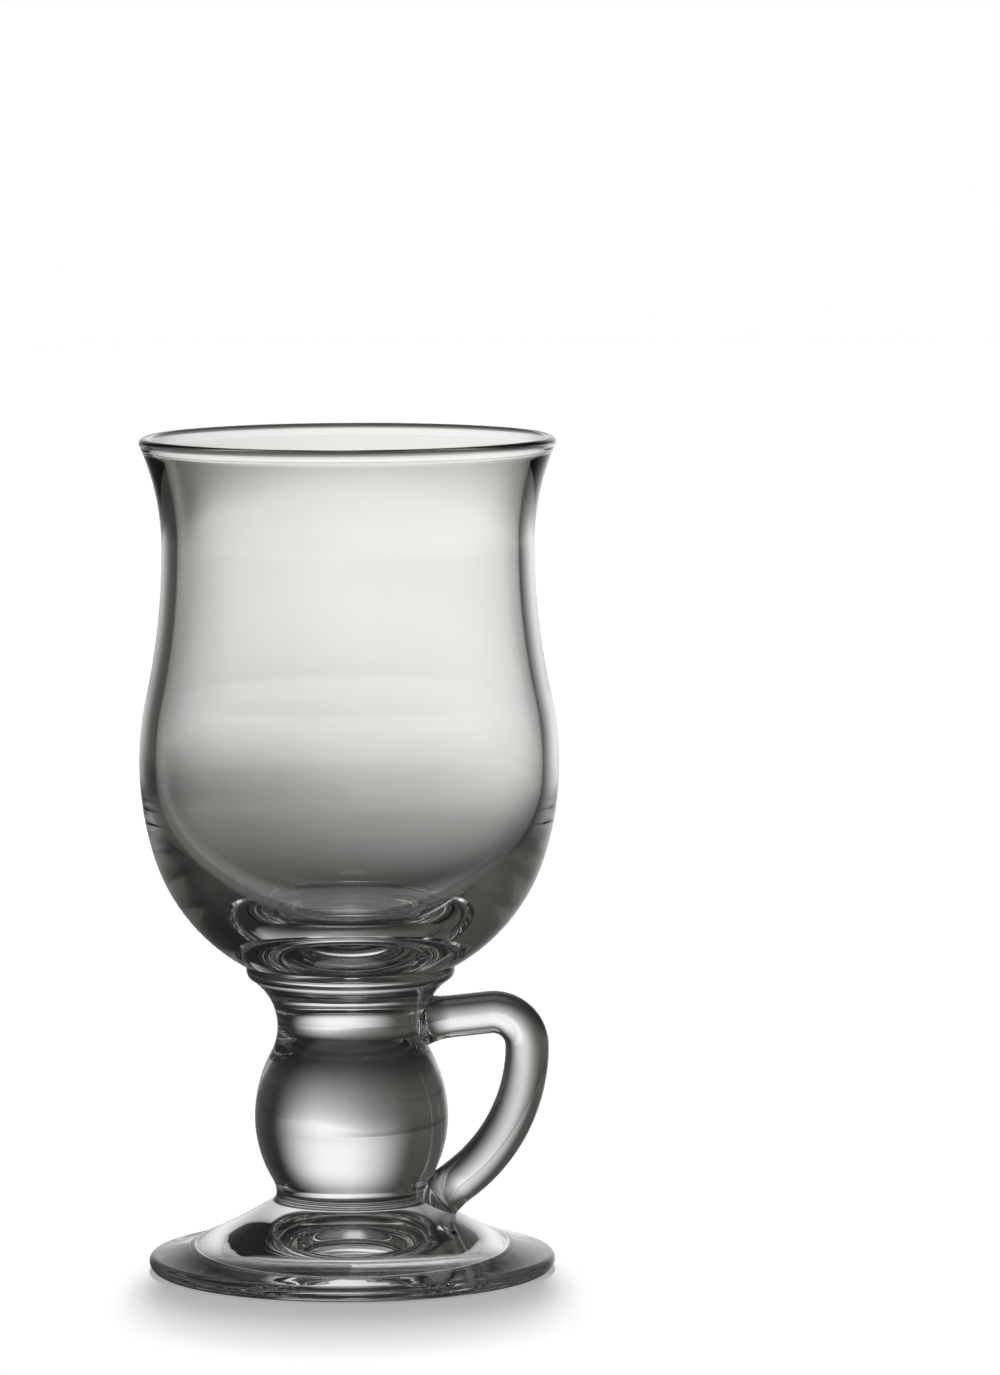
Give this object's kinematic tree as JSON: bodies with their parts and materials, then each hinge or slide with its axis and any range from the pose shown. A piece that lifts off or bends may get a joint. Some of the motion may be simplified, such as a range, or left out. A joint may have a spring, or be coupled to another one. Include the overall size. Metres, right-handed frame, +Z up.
{
  "type": "irish coffee mug",
  "caption": "Footed clear glass mug for hot drinks: tulip bowl with a flared lip, collar, ball knop stem, hollow conical foot and a small bent rod handle.",
  "frame": {"origin": "middle of the ring that the foot stands on, on the table", "axes": "+Z up along the bowl's axis, +X towards the handle"},
  "size_m": [0.075, 0.075, 0.15],
  "materials": {
    "clear_glass": "fire-polished clear soda-lime glass"
  },
  "bodies": {
    "root": {"bowl": "clear_glass", "collar": "clear_glass", "stem": "clear_glass", "foot": "clear_glass", "handle": "clear_glass"}
  },
  "joints": []
}
